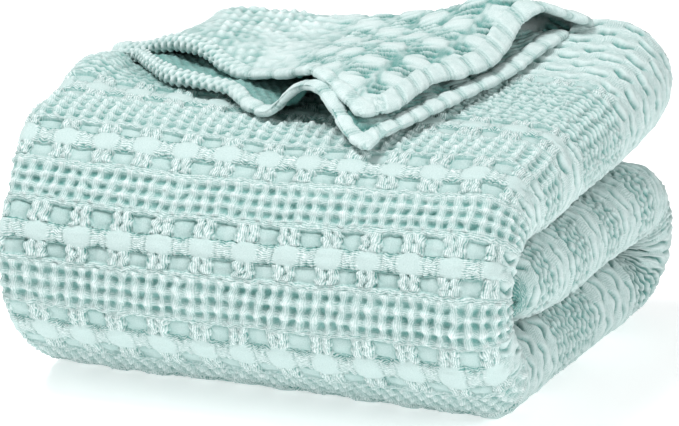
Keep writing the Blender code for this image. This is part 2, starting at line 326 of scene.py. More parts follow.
def noise(a, b, size, seed):
    """Smooth random field from -1 to 1 over two coordinates, with bumps of a given size."""
    cells = 61
    table = np.random.default_rng(seed).uniform(-1.0, 1.0, (cells, cells))
    a, b = np.broadcast_arrays(np.asarray(a, float) / size, np.asarray(b, float) / size)
    i = np.floor(a).astype(int)
    j = np.floor(b).astype(int)
    u = ramp(a - i)
    v = ramp(b - j)
    low = table[i % cells, j % cells] * (1.0 - v) + table[i % cells, (j + 1) % cells] * v
    i = i + 1
    high = table[i % cells, j % cells] * (1.0 - v) + table[i % cells, (j + 1) % cells] * v
    return low * (1.0 - u) + high * u


# ---------------- the wound strip
def turn_stations(table, centre):
    """Outer y and z, inner y and z and right edge round a turn, every 2 degrees."""
    rows = np.array(table)
    angles = np.arange(rows[0, 0], rows[-1, 0] + 0.1, 2.0)
    read = read_smoothly(rows[:, 0], rows[:, 1:], angles, flat_ends=True)
    ray = np.stack([np.cos(np.radians(angles)), np.sin(np.radians(angles))], axis=1)
    return np.hstack([centre + read[:, 0:1] * ray, centre + read[:, 1:2] * ray, read[:, 2:3]])


def run_stations(table):
    """The same along a straight run, every 3 mm, from low y to high y."""
    rows = np.array(sorted(table))
    y = np.linspace(rows[0, 0], rows[-1, 0], int((rows[-1, 0] - rows[0, 0]) / 3.0) + 1)
    read = read_smoothly(rows[:, 0], rows[:, 1:], y)
    return np.stack([y, read[:, 0], y, read[:, 1], read[:, 2]], axis=1)


def strip_stations():
    """Stations from the rear end of the top pass to the end of the middle pass."""
    top = run_stations(TOP_RUN)[::-1]
    front = turn_stations(FRONT_TURN, FRONT_TURN_CENTRE)
    bottom = run_stations(BOTTOM_RUN)
    rear = turn_stations(REAR_TURN, REAR_TURN_CENTRE)
    middle = run_stations(MIDDLE_RUN)[::-1]
    rows = np.concatenate([top[:-1], front, bottom[1:-1], rear, middle[1:]])
    on_top = np.zeros((len(rows), 1))
    on_top[: len(top)] = 1.0
    steps = np.linalg.norm(np.diff(rows[:, :2], axis=0), axis=1)
    return np.concatenate([[0.0], np.cumsum(steps)]), np.hstack([rows, on_top])


STRIP_AT, STRIP_ROWS = strip_stations()
ON_TOP = STRIP_ROWS[:, 5] > 0.0
FLAP_TURN_AT = float(np.interp(-FLAP_TURN_Y, -STRIP_ROWS[ON_TOP, 0], STRIP_AT[ON_TOP]))


def station(s):
    """Outer y, outer z, inner y, inner z, right edge and share on top, at distances s."""
    inside = np.clip(s, STRIP_AT[0], STRIP_AT[-1])
    return [np.interp(inside, STRIP_AT, column) for column in STRIP_ROWS.T]


def rearward(y, start):
    """Rise smoothly from 0 at a start to 1 at the rear end of the top pass."""
    return ramp((y - start) / (TOP_END_Y - start))


def place_on_strip(s, x, layer):
    """Points of a layer between the outer and inner faces of the strip."""
    outer_y, outer_z, inner_y, inner_z, _, on_top = station(s)
    left_share = (RIGHT_EDGE - x) / (RIGHT_EDGE - LEFT_EDGE) * on_top
    sagging = np.maximum(left_share - SAG_FREE_SHARE, 0.0) / (1.0 - SAG_FREE_SHARE)
    outer_z = outer_z - REAR_SAG * sagging * rearward(outer_y, REAR_SAG_START_Y)
    outer_y = outer_y - REAR_SKEW * left_share * rearward(outer_y, FRONT_TURN_CENTRE[0])
    inner_y = inner_y - REAR_SKEW * left_share * rearward(inner_y, FRONT_TURN_CENTRE[0])
    thickness = np.hypot(inner_y - outer_y, inner_z - outer_z)
    depth = 0.5 * CLOTH + layer * (thickness - CLOTH) / LAST_LAYER
    share = depth / thickness
    y = outer_y + (inner_y - outer_y) * share
    z = outer_z + (inner_z - outer_z) * share
    return np.stack(np.broadcast_arrays(x, y, z), axis=-1)


def fold_sizes(s):
    """Radii of the small folds and the big roll, and where each begins across the strip."""
    outer_y, outer_z, inner_y, inner_z, right, _ = station(s)
    big = 0.5 * (np.hypot(inner_y - outer_y, inner_z - outer_z) - CLOTH)
    small = big / LAST_LAYER
    return small, big, LEFT_EDGE + 0.5 * CLOTH + small, right - 0.5 * CLOTH - big


def half_turn(share):
    """Share of its depth that cloth has gained at a share of a fold, and how far it bulges."""
    return 0.5 - 0.5 * np.cos(np.pi * share), np.sin(np.pi * share)


def place_on_skin(s, t):
    """Points of the outer skin: layer 0, its left fold, the big right roll and its tucked end."""
    small, big, left, roll = fold_sizes(s)
    fold = np.clip((left - t) / small, 0.0, np.pi)
    turn = np.clip((t - roll) / big, 0.0, np.pi)
    under_left = np.maximum(left - t - np.pi * small, 0.0)
    under_right = np.maximum(t - roll - np.pi * big, 0.0)
    x = np.clip(t, left, roll)
    x = x - small * np.sin(fold) + under_left + big * np.sin(turn) - under_right
    layer = 0.5 - 0.5 * np.cos(fold) + LAST_LAYER * (0.5 - 0.5 * np.cos(turn))
    tuck = np.clip((s - STRIP_AT[-1]) / END_TUCK, 0.0, 1.0) * 0.5 * np.pi
    layer = layer + (0.5 * LAST_LAYER - layer) * (1.0 - np.cos(tuck))
    points = place_on_strip(s, x, layer)
    points[..., 1] -= END_TUCK * np.sin(tuck)
    return points


# ---------------- weave relief
# Heights are in millimetres over the cloth's middle.  A place is a share of a row of cells.
# The weave's distance along the strip is that at its middle, the third of BAND_PLACES.
CENTRE = 2


def band_starts(band):
    """Where a band starts, at each of the places across the strip."""
    start = band[2]
    return np.array(start if isinstance(start, tuple) else [start] * len(BAND_PLACES))


def band_rows():
    """Rows of the skin's grid: starts at the places across, then kind, place, number and span."""
    waffle = np.linspace(0.0, 1.0, 10)[:-1]
    fine = np.linspace(0.0, 1.0, 7)[:-1]
    ridge = np.linspace(0.0, 1.0, 5)[:-1]
    edge = np.array([0.0, 0.05, 0.11, 0.18, 0.27, 0.37, 0.48, 0.6, 0.72, 0.82, 0.9, 0.96])
    rows = []
    for number, (here, after) in enumerate(zip(BANDS, BANDS[1:])):
        starts, ends = band_starts(here), band_starts(after)
        kind, cells = KINDS[here[0]], here[1]
        span = (ends - starts).mean() / cells
        steps = edge
        if kind == 0:
            steps = waffle if span > WIDE_CELL else fine
        elif kind == 3:
            steps = ridge
        for cell in range(cells):
            for step in steps:
                across = starts + (ends - starts) * ((cell + step) / cells)
                rows.append([*across, kind, step, number + 0.1 * cell, span])
    rows.append([*band_starts(BANDS[-1]), 3, 1.0, len(BANDS) - 1, 15.0])
    return np.array(rows)


def repeat_columns(low, high):
    """Weave coordinates across the skin, a little closer at the windows' sides."""
    steps = np.sort(np.append(np.linspace(0.0, REPEAT, 25)[:-1], WINDOW_SIDES))
    first = math.floor(low / REPEAT)
    last = math.ceil(high / REPEAT)
    columns = np.concatenate([steps + REPEAT * k for k in range(first, last + 1)])
    return columns[(columns >= low) & (columns <= high)]


def across_places(columns, s):
    """Real place across the strip of each weave coordinate, at each distance along it."""
    posts = REPEAT * (FIRST_POST + np.arange(len(POST_PLACES[0][1])))
    stops = [place for place, _ in POST_PLACES]
    lines = []
    for _, places in POST_PLACES:
        line = np.interp(columns, posts, places)
        line = line + np.minimum(columns - posts[0], 0.0) + np.maximum(columns - posts[-1], 0.0)
        lines.append(line)
    lines = np.array(lines)
    at = np.clip(s, stops[0], stops[-1])
    after = np.clip(np.searchsorted(stops, at), 1, len(stops) - 1)
    low = np.array(stops)[after - 1]
    share = ramp((at - low) / (np.array(stops)[after] - low))[:, None]
    return lines[after - 1] * (1.0 - share) + lines[after] * share


def bump(distance, half, edge):
    """1 inside a half-width, easing to 0 over an edge around it."""
    return 1.0 - ramp((np.abs(distance) - half + 0.5 * edge) / edge)


def waffle_relief(place, across, number, ribbed):
    """Small cells: square pits between knotted columns and bars, or fine wavy ribs."""
    cell = np.floor(across + 0.5)
    chance = cell_values((cell, number), 11.0)
    second = cell_values((cell, number), 12.0)
    a = across - cell + 0.06 * np.sin(TAU * place + 3.0 * chance)
    b = place - 0.5 + 0.05 * second
    pit = bump(a, 0.22 + 0.04 * chance, 0.18) * bump(b, 0.21 + 0.04 * second, 0.24)
    corner = cell_values((np.floor(across), np.round(10.0 * number + np.floor(place + 0.5))), 13.0)
    column = np.exp(-((np.abs(a) - 0.5) / 0.24) ** 2)
    bar = np.exp(-(np.minimum(place, 1.0 - place) / 0.21) ** 2)
    cells = -0.9 + 0.9 * column + 0.5 * bar + (2.1 + 0.8 * corner) * column * bar - 1.9 * pit
    bent = place + 0.2 * np.sin(TAU * across + 2.0 * second)
    ribs = -0.5 + 1.8 * wave(bent) - 0.9 * bump(a, 0.16, 0.3)
    return cells * (1.0 - ribbed) + ribs * ribbed


def wavy(off, along, phase):
    """Place across a float bundle that wanders a little from side to side."""
    swing = 0.9 * np.sin(TAU * (along / 9.0 + phase))
    swing = swing + 0.4 * np.sin(TAU * (along / 4.1 + 2.0 * phase))
    return off + swing


def window_relief(place, off, span, wobble):
    """Sunk plain windows between posts of two wavy bundles of float yarn."""
    along = place * span
    bent = wavy(off, along, wobble)
    side = REPEAT * 0.5 - np.abs(bent)
    window = bump(side, WINDOW_HALF + 0.6 * wobble, 1.5) * bump(place - 0.5, 0.46, 0.1)
    crown = (1.0 - (side / WINDOW_HALF) ** 2) * (1.0 - (2.0 * place - 1.0) ** 2)
    gap = bump(place - 0.06, 0.035, 0.07) + 0.4 * bump(side - WINDOW_HALF + 1.0, 0.4, 1.0)
    floor = -2.3 + 0.6 * np.clip(crown, 0.0, 1.0) - 1.6 * np.minimum(gap, 1.0)
    spread = 3.7 + 0.5 * np.sin(TAU * (along / 7.0 + 2.0 * wobble))
    strand = np.clip(1.0 - ((np.abs(bent) - spread) / 3.9) ** 2, 0.0, 1.0) ** 0.75
    post = -1.6 + 3.0 * strand + 0.35 * wave(along / 5.2 + 3.0 * wobble + 0.12 * bent)
    return post * (1.0 - window) + floor * window


def puff_edge(place, span, wobble):
    """Half-width of a puff, narrowing to its ends and scalloped by its gathers."""
    narrow = 3.6 * np.abs(2.0 * place - 1.0) ** 2.5
    return PUFF_HALF - narrow + 0.8 * wobble + 0.7 * wave(place * span / 4.3 + wobble)


def puff_relief(place, off, span, wobble):
    """Smooth raised puffs, joined across by gathered bridges of float yarn."""
    v = 2.0 * place - 1.0
    puff = bump(off, puff_edge(place, span, wobble), 2.6)
    dome = 1.0 - 0.6 * np.abs(off / PUFF_HALF) ** 2.5 - 0.7 * np.abs(v) ** 3
    side = REPEAT * 0.5 - np.abs(off)
    waist = 0.95 - 0.4 * bump(side, 1.5, 5.0)
    bridge = 0.9 * np.clip(1.0 - (v / waist) ** 2, 0.0, 1.0) ** 0.6
    bridge = bridge - 2.0 * ramp((np.abs(v) - waist + 0.2) / 0.3)
    bridge = bridge - 1.5 * bump(side - 5.4, 0.5, 1.6)
    return puff * (0.1 + 1.8 * dome) + (1.0 - puff) * bridge


def ridge_relief(place, off, wobble):
    """Loopy yarn edge between the small cells and the windows."""
    scallop = 0.22 * wave(off / REPEAT) + 0.2 * np.cos(6.0 * np.pi * off / REPEAT + wobble)
    line = 2.2 * (place - 0.5 - scallop)
    twist = 0.7 + 0.3 * np.cos(TAU * off / 5.1 + 6.0 * wobble)
    return -0.4 + 1.3 * (np.clip(1.0 - line * line, 0.0, 1.0) * twist)


def pleat_relief(place, side, wobble, half):
    """Smooth cloth drawn into soft puffs, with a curved slit between each two."""
    side = side + 3.0 * wobble
    bent = place - 0.5 - 0.16 * np.cos(np.pi * side / 9.0) - 0.12 * wobble
    length = 5.0 + 0.25 / half + 2.0 * wobble
    slit = np.exp(-(bent / half) ** 2) * bump(side, length, 5.0)
    lip = np.exp(-((bent - 0.28) / 0.12) ** 2) * bump(side, 6.5, 5.0)
    puff = wave(bent + 0.5) * (0.3 + 0.6 * bump(side, 7.0, 9.0))
    return 0.3 + puff + 0.6 * lip - (3.3 + wobble) * slit


def cell_values(rows, seed):
    """One random value from -1 to 1 for each pair of whole numbers."""
    first, second = rows
    mixed = np.sin(first * 127.1 + second * 311.7 + seed * 74.7) * 43758.5453
    return 2.0 * (mixed - np.floor(mixed)) - 1.0


def repeat_place(columns):
    """Distance from the nearest post's centre, and the number of that repeat."""
    cell = np.floor(columns / REPEAT + 0.5)
    return columns - cell * REPEAT, cell


def weave_relief(rows, off, cell, tight):
    """Height of the weave, and its masks: floats along, floats across and tone, the tone carrying
    painted shade and painted highlight.
    """
    kind, place, number, span = (rows[:, k:k + 1] for k in range(5, 9))
    kinds = [kind == 0, kind == 1, kind == 2]
    pleated, ribbed = tight
    wobble = cell_values((number, cell), 1.0)
    ribbed = np.maximum(ribbed, ramp((RIBBED_CELL - span) / 1.4))
    pleated = pleated * (kinds[1] | kinds[2])
    across = off / (REPEAT / 3.0) + 3.0 * cell
    shapes = [
        waffle_relief(place, across, number, ribbed),
        window_relief(place, off, span, wobble),
        puff_relief(place, off, span, wobble),
    ]
    height = np.select(kinds, shapes, ridge_relief(place, off, wobble))
    height = height * (0.95 + 0.12 * wobble)
    side = REPEAT * 0.5 - np.abs(off)
    staggered = np.where(kinds[2], np.abs(off), side)
    slit_half = np.where(rows[:, CENTRE:CENTRE + 1] < ROW_OF_SHOULDER, 0.15, 0.085)
    height = height * (1.0 - pleated) + pleat_relief(place, staggered, wobble, slit_half) * pleated
    edge = puff_edge(place, span, wobble)
    along, cross = float_masks(kinds, place, off, across, edge, 0.5 * (1.0 - ribbed))
    smooth = np.maximum(pleated, ribbed * kinds[0])
    # Pleats and ribs take their tone by height: painted shade in the slits, painted highlight on the
    # crests.
    smooth_tone = np.clip(0.5 + np.where(height > 0.0, 0.17, 0.24) * height, 0.0, 0.9)
    tone = weave_tone(kinds, place, off, height, edge) * (1.0 - smooth) + smooth_tone * smooth
    bare = 1.0 - 0.55 * pleated
    return height, np.stack([along * bare, cross * bare, tone], axis=-1)


def float_masks(kinds, place, off, across, edge, knotted):
    """Shares of float yarn that runs along the strip and across it."""
    columns = wave(across)
    post_side = ramp((REPEAT * 0.5 - np.abs(off) - WINDOW_HALF + 1.2) / 1.6)
    puff_side = ramp((np.abs(off) - edge + 1.6) / 2.4)
    bars = knotted * (columns >= 0.2) * (wave(place) > -0.3)
    along = np.select(kinds[:2], [knotted * (columns < 0.2), post_side], 0.0)
    return along, np.select(kinds, [bars, 0.0, puff_side], 0.8)


def weave_tone(kinds, place, off, height, edge):
    """Tone of the cloth, by height: plain puffs are nearly even, the sunk windows darker with painted
    shade, most at their edges, and float yarn has painted highlight on its crests and painted shade in
    its pits.
    """
    side = REPEAT * 0.5 - np.abs(off)
    yarn = np.clip(0.48 + 0.15 * height, 0.0, 0.95)
    window = bump(side, WINDOW_HALF + 0.4, 1.2) * bump(place - 0.5, 0.47, 0.08)
    puff = bump(off, edge - 0.8, 2.6)
    plain = np.select(kinds[1:], [window, puff], 0.0)
    even = np.clip(np.where(kinds[1], 0.39 + 0.2 * (height + 2.0), 0.52 + 0.03 * height), 0.0, 0.75)
    return yarn * (1.0 - plain) + even * plain


def tightness(s, columns):
    """Shares of pleats and of fine ribs over the skin."""
    pleats_from = np.interp(s, *np.array(PLEATS_FROM).T)
    ribs_from = np.interp(s, *np.array(RIBS_FROM).T)
    rear = ramp((REAR_PLEATS_TO - s) / PLEATS_OVER)
    pleated = np.maximum(ramp((columns[None, :] - pleats_from) / PLEATS_OVER), rear)
    return pleated, ramp((columns[None, :] - ribs_from) / PLEATS_OVER)


def strip_distance(rows, t):
    """Distance along the strip of each row of the skin, at places across it."""
    return np.array([np.interp(places, BAND_PLACES, row[:5]) for places, row in zip(t, rows)])


def outward_normals(points):
    """Unit normals of a grid of points, on the side that its rows and columns give."""
    normals = np.cross(np.gradient(points, axis=0), np.gradient(points, axis=1))
    length = np.linalg.norm(normals, axis=-1, keepdims=True)
    return normals / np.maximum(length, 1e-9)


# ---------------- meshes
def new_object(name, data):
    """New object in the scene, with its data."""
    made = bpy.data.objects.new(name, data)
    bpy.context.scene.collection.objects.link(made)
    return made


def make_piece(name, points, normals, weave, masks):
    """Mesh object from a grid of points, with its normals, weave coordinates and yarn masks, whose
    last channel is the tone of painted shade and highlight.
    """
    index = np.arange(points[..., 0].size).reshape(points.shape[:2])
    corners = [index[:-1, :-1], index[1:, :-1], index[1:, 1:], index[:-1, 1:]]
    rings = np.stack(corners, axis=-1).reshape(-1, 4)
    world = (points.reshape(-1, 3) - PACK_CENTRE) * MM
    mesh = bpy.data.meshes.new(name)
    mesh.from_pydata(world.tolist(), [], rings.tolist())
    uv = mesh.uv_layers.new(name="weave")
    uv.data.foreach_set("uv", weave.reshape(-1, 2)[rings].astype(np.float32).ravel())
    colours = mesh.color_attributes.new("yarn", "FLOAT_COLOR", "POINT")
    opaque = np.append(masks, np.ones_like(masks[..., :1]), axis=-1)
    colours.data.foreach_set("color", opaque.astype(np.float32).ravel())
    mesh.shade_smooth()
    mesh.normals_split_custom_set_from_vertices(normals.reshape(-1, 3).tolist())
    mesh.materials.append(COTTON)
    piece = new_object(name, mesh)
    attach(piece, "root")
    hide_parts("blanket")
    return piece


# ---------------- material
# Colours along the tone: painted shade in pits, folds and under the flap, the cloth's own aqua, and
# painted highlight on crests
PAINTED_SHADE_COLOUR = (0.11, 0.30, 0.275, 1.0)
COTTON_COLOUR = (0.46, 0.595, 0.58, 1.0)
PAINTED_HIGHLIGHT_COLOUR = (0.78, 0.86, 0.855, 1.0)
STRAND_PITCH = 1.5
YARN_HEIGHT = 0.28 * MM


def new_material(name, settings):
    """Material with inputs of its Principled BSDF set by name, and that shader."""
    material = bpy.data.materials.new(name)
    material.use_nodes = True
    shader = material.node_tree.nodes["Principled BSDF"]
    for key, value in settings.items():
        shader.inputs[key].default_value = value
    return material, shader


def feed(tree, socket, value):
    """Link an output to a node's input, or set the input to a value."""
    if isinstance(value, bpy.types.NodeSocket):
        tree.links.new(value, socket)
    else:
        socket.default_value = value


def node(tree, kind, **settings):
    """New shader node: settings are its properties, and what feeds its inputs."""
    made = tree.nodes.new(kind)
    for key, value in settings.items():
        if hasattr(made, key):
            setattr(made, key, value)
        else:
            feed(tree, made.inputs[key.replace("_", " ")], value)
    return made


def math_node(tree, operation, *values, kind="ShaderNodeMath"):
    """Result of a math node for sockets or numbers."""
    made = node(tree, kind, operation=operation)
    for socket, value in zip(made.inputs, values):
        feed(tree, socket, value)
    return made.outputs[0]


def vector_node(tree, operation, *values):
    """Result of a vector math node for sockets or vectors."""
    return math_node(tree, operation, *values, kind="ShaderNodeVectorMath")


def shifted_weave(tree, weave, size, reach):
    """Weave coordinates pushed about by smooth noise of a size, as far as a reach, in mm."""
    grain = node(tree, "ShaderNodeTexNoise", Vector=weave, Scale=1.0 / size, Detail=1.0)
    centred = vector_node(tree, "SUBTRACT", grain.outputs["Color"], (0.5, 0.5, 0.5))
    return vector_node(tree, "ADD", weave, vector_node(tree, "MULTIPLY", centred, (2.0 * reach,) * 3))


def centred_noise(tree, weave, size, detail, amount):
    """Noise round 0 with grains of a size in mm, times an amount."""
    grain = node(
        tree, "ShaderNodeTexNoise", Vector=weave, Scale=1.0 / size, Detail=detail, Roughness=0.6)
    return math_node(tree, "MULTIPLY", math_node(tree, "SUBTRACT", grain.outputs["Fac"], 0.5), amount)


def strands(tree, weave, direction, mask):
    """Round strands of float yarn, side by side in a direction, where a mask has them."""
    waves = node(
        tree, "ShaderNodeTexWave", wave_type="BANDS", bands_direction=direction, Vector=weave,
        Scale=TAU / (20.0 * STRAND_PITCH), Distortion=1.2, Detail=1.0, Detail_Scale=0.5)
    return math_node(tree, "MULTIPLY", math_node(tree, "SUBTRACT", waves.outputs["Fac"], 0.5), mask)


def make_cotton():
    """Pale aqua brushed cotton: fine plain weave, float strands and soft fuzz, with painted shade and
    highlight in its colour.
    """
    material, shader = new_material("aqua_cotton_weave", {
        "Roughness": 0.92, "Specular IOR Level": 0.2, "Sheen Weight": 0.15, "Sheen Roughness": 0.5})
    tree = material.node_tree
    weave = node(tree, "ShaderNodeUVMap", uv_map="weave").outputs["UV"]
    masks = node(tree, "ShaderNodeAttribute", attribute_name="yarn").outputs["Color"]
    split = node(tree, "ShaderNodeSeparateColor", Color=masks)
    # The yarn attribute's blue channel is the tone: a share from painted shade to painted highlight.
    along, cross, depth = (split.outputs[key] for key in ("Red", "Green", "Blue"))
    moved = shifted_weave(tree, weave, 6.0, 1.8)
    floats = math_node(tree, "ADD", strands(tree, moved, "Y", along), strands(tree, moved, "X", cross))
    yarn = math_node(tree, "MAXIMUM", along, cross)
    fluff = centred_noise(tree, moved, 2.1, 2.0, math_node(tree, "MULTIPLY", yarn, 2.0))
    fuzz = centred_noise(tree, weave, 1.0, 3.0, 0.9)
    relief = math_node(tree, "ADD", math_node(tree, "ADD", floats, fluff), fuzz)
    bumps = node(tree, "ShaderNodeBump", Strength=1.0, Distance=YARN_HEIGHT, Height=relief)
    feed(tree, shader.inputs["Normal"], bumps.outputs["Normal"])
    # The bump's relief also moves the tone: painted shade in the strands' hollows and painted
    # highlight on their tops, varied at random by the fuzz.
    tone = math_node(tree, "ADD", depth, math_node(tree, "MULTIPLY", relief, 0.52))
    colour_with_painted_shade = node(tree, "ShaderNodeValToRGB", Fac=tone)
    stops = colour_with_painted_shade.color_ramp.elements
    stops[0].color = PAINTED_SHADE_COLOUR
    stops[1].color = PAINTED_HIGHLIGHT_COLOUR
    stops.new(0.5).color = COTTON_COLOUR
    feed(tree, shader.inputs["Base Color"], colour_with_painted_shade.outputs["Color"])
    return material


COTTON = make_cotton()


# ---------------- the skin
def tone_of(height):
    """Share of the tone from the deepest pit, 0, to the highest ridge, 1: painted shade in the pits
    and painted highlight on the ridges.
    """
    return np.clip(0.55 + np.where(height > 0.0, 0.15, 0.23) * height, 0.0, 1.0)


def stepped(first, last, step):
    """Whole numbers from first to last by a step, with the last one always in."""
    return np.unique(np.append(np.arange(first, last + 1, step), last))


def dressed_grid(base, height, weave, masks):
    """Base, points raised over it and kept off the floor, normals, weave coordinates, masks."""
    points = base + outward_normals(base) * height[..., None]
    points[..., 2] = np.maximum(points[..., 2], FLOOR_GAP)
    weave = np.stack(np.broadcast_arrays(*weave), axis=-1)
    return base, points, outward_normals(points), weave, masks


def cut_piece(name, grid, rows, columns, step=1):
    """Piece from part of a grid, between two rows and two columns."""
    down = stepped(*rows, step)
    over = stepped(*columns, step)
    base, *dressed = (values[down][:, over] for values in grid)
    make_piece(name, *dressed)


def under_flap(points):
    """Share of the shade under the corner flap, from its lower hem inwards."""
    hem = np.array(LOWER_FRONT_HEM + LOWER_RIGHT_HEM[1:])
    x, y = points[..., 0], points[..., 1]
    edge = np.interp(x, hem[:, 0], hem[:, 1], left=TOP_END_Y, right=TOP_END_Y)
    reach = FLAP_SHADE_REACH * ramp((-75.0 - x) / 70.0)
    shade = FLAP_SHADE + FLAP_SHADE_LEFT * ramp((-40.0 - x) / 45.0)
    return shade * ramp((y - edge + reach) / (FLAP_SHADE_OVER + reach))


def lift_at_fold(points):
    """How far the cloth rises at the left edge, just in front of the flap's fold."""
    hem = np.array(LOWER_FRONT_HEM)
    x, y = points[..., 0], points[..., 1]
    edge = np.interp(x, hem[:, 0], hem[:, 1])
    rise = ramp((-156.0 - x) / 24.0) * ramp((y - FRONT_TURN_CENTRE[0]) / 50.0)
    return FOLD_LIFT * rise * (1.0 - ramp((y - edge + 4.0) / 12.0))


def skin_grid(rows, columns):
    """Grid of the outer cloth of all passes, with its left fold and its right roll."""
    centre = rows[:, CENTRE]
    t = across_places(columns, centre)
    s = strip_distance(rows, t)
    off, cell = repeat_place(columns[None, :])
    tight = tightness(s, columns)
    height, masks = weave_relief(rows, off, cell, tight)
    # Painted shade: the tone darkens towards the strip's tucked end.
    masks[..., 2] -= 0.5 * np.clip((s - STRIP_AT[-1] + END_TUCK) / (2.0 * END_TUCK), 0.0, 1.0)

    def swell(amount, size, seed):
        """Noise over the skin, up to an amount."""
        return amount * noise(s, t, size, seed)

    pleated, loose = tight[0], 1.0 - tight[0]
    warp_s = swell(0.8, 34.0, 3) + swell(0.8, 9.0, 4) * loose
    warp_s = warp_s + swell(1.8, 17.0, 14) * pleated + swell(0.6, 4.4, 12) * loose
    warp_t = swell(0.8, 38.0, 5) + swell(0.8, 8.0, 6) + swell(0.6, 4.4, 13) * loose
    floats = masks[..., :2].max(axis=-1)
    uneven = swell(1.3, 62.0, 7) + swell(0.5, 21.0, 8)
    yarn = swell(0.5, 2.7, 9) * (0.12 + floats)
    creases = 0.6 * noise(s, 0.35 * t, 3.6, 10) * (1.0 - floats)
    base = place_on_skin(s + warp_s, t + warp_t)
    on_top = s < ROW_OF_SHOULDER
    height = SKIN_LIFT + height + uneven + yarn + creases + lift_at_fold(base) * on_top
    masks[..., 2] *= 1.0 - under_flap(base) * on_top
    return dressed_grid(base, height, (centre[:, None], columns[None, :]), masks)


def build_skin():
    """The outer cloth, cut into pieces."""
    rows = band_rows()
    columns = repeat_columns(SKIN_LEFT, SKIN_RIGHT)
    grid = skin_grid(rows, columns)
    crest, front, under = np.searchsorted(rows[:, CENTRE], (FLAP_TURN_AT, FRONT_FROM, BASE_FROM))
    slit, roll = np.searchsorted(columns, (LOWER_SLIT_X + SLIT_MARGIN, ROLL_FROM))
    flat, rolled = (0, roll), (roll, len(columns) - 1)
    end = len(rows) - 1
    cut_piece("blanket_top", grid, (crest, front), flat)
    cut_piece("blanket_front", grid, (front, under), flat)
    cut_piece("blanket_base", grid, (under, end), flat, step=2)
    cut_piece("blanket_rear_corner", grid, (0, crest), (slit, len(columns) - 1))
    cut_piece("blanket_roll_top", grid, (crest, front), rolled)
    cut_piece("blanket_roll_front", grid, (front, under), rolled)
    cut_piece("blanket_roll_low", grid, (under, end), rolled)


# ---------------- inner layers
def inner_columns(runs):
    """Columns of an inner path: kind of stretch, place in it and layer."""
    columns = []
    for kind, layer, count in runs:
        for place in np.linspace(0.0, 1.0, count)[:-1]:
            columns.append((kind, place, layer))
    return np.array(columns)


def place_inner(s, columns):
    """Points of the inner layers, and their places across the strip."""
    small, big, left, roll = fold_sizes(s)
    turn_x = roll + INNER_FOLD_ADVANCE * 2.0 * big
    kind, place, layer = columns[None, :, 0], columns[None, :, 1], columns[None, :, 2]
    drop, swell = half_turn(place)
    hem = np.where((layer == 2) | (layer == 3), LEFT_EDGE + HEM_INSET, left)
    runs = hem + (turn_x - hem) * np.where(kind == 0, place, 1.0 - place)
    folds = np.where(kind == 1, turn_x + small * swell, left - small * swell)
    x = np.where(kind % 2 == 0, runs, folds)
    return place_on_strip(s, x, layer + np.where(kind % 2 == 1, drop, 0.0)), x + 0.0 * s


def inner_grid(rows, runs):
    """Grid of inner layers that follow one another through runs and folds."""
    s = rows[:, CENTRE:CENTRE + 1]
    base, x = place_inner(s, inner_columns(runs))
    off, cell = repeat_place(x)
    height, masks = weave_relief(rows, off, cell, (0.0 * x, 0.0 * x))
    return dressed_grid(base, INNER_RELIEF * height, (s, x), masks)


def build_inner_layers():
    """The four layers inside the strip, with their folds."""
    rows = band_rows()
    rows = rows[rows[:, CENTRE] < STRIP_AT[-1] + 1.0]
    rows = rows[stepped(0, len(rows) - 1, 4)]
    crest, end = int(np.searchsorted(rows[:, CENTRE], FLAP_TURN_AT)), len(rows) - 1
    upper, lower = inner_grid(rows, INNER_UPPER), inner_grid(rows, INNER_LOWER)
    for name, grid, down, first_column in (
        ("blanket_inner_upper_rear", upper, (0, crest), 34),
        ("blanket_inner_upper", upper, (crest, end), 3),
        ("blanket_inner_lower", lower, (0, end), 4),
    ):
        cut_piece(name, grid, down, (first_column, grid[0].shape[1] - 1))


# ---------------- the corner flap
def along_curve(rows, share):
    """Points at shares of the way along a smooth curve through the rows."""
    points = np.array(rows)
    steps = np.linalg.norm(np.diff(points, axis=0), axis=1)
    stops = np.concatenate([[0.0], np.cumsum(steps)]) / steps.sum()
    return read_smoothly(stops, points, share)


def crest_points(share, start, end, column):
    """Points on the rear edge of a flap layer."""
    table = np.array(FLAP_CREST)
    crest = read_smoothly(table[:, 0], table[:, 1:], share)
    x = start[0] + (end[0] - start[0]) * share + crest[:, 0]
    y = start[1] + (end[1] - start[1]) * share
    return np.stack([x, y, crest[:, column]], axis=1)


def flap_layer(along, back, front_hem, right_hem, rear, loft):
    """Grid of a flap layer, blended between its two hems and its rear turn."""
    start, end, column = rear
    ends = crest_points(np.array([0.0, 1.0]), start, end, column)
    front_start, tip = np.array(front_hem[0]), np.array(front_hem[-1])
    front = along_curve(front_hem, along)[None, :]
    back_edge = crest_points(along, start, end, column)[None, :]
    b, a = back[:, None, None], along[None, :, None]
    left = front_start + (ends[0] - front_start) * b
    right = along_curve(list(right_hem) + [tuple(ends[1])], back)[:, None]
    edges = (1.0 - b) * front + b * back_edge + (1.0 - a) * left + a * right
    corners = (1.0 - b) * ((1.0 - a) * front_start + a * tip) + b * ((1.0 - a) * ends[0] + a * ends[1])
    rise = loft * np.sin(np.pi * a) * np.sin(np.pi * b)
    return edges - corners + rise * np.array([0.0, 0.0, 1.0])


def turned_over(first, second, angle, reach, direction):
    """Half turn of cloth from one edge, at angle 0, to another, bulging in a direction."""
    half = 0.5 * (first - second)
    return 0.5 * (first + second) + half * np.cos(angle) + reach * np.sin(angle) * direction


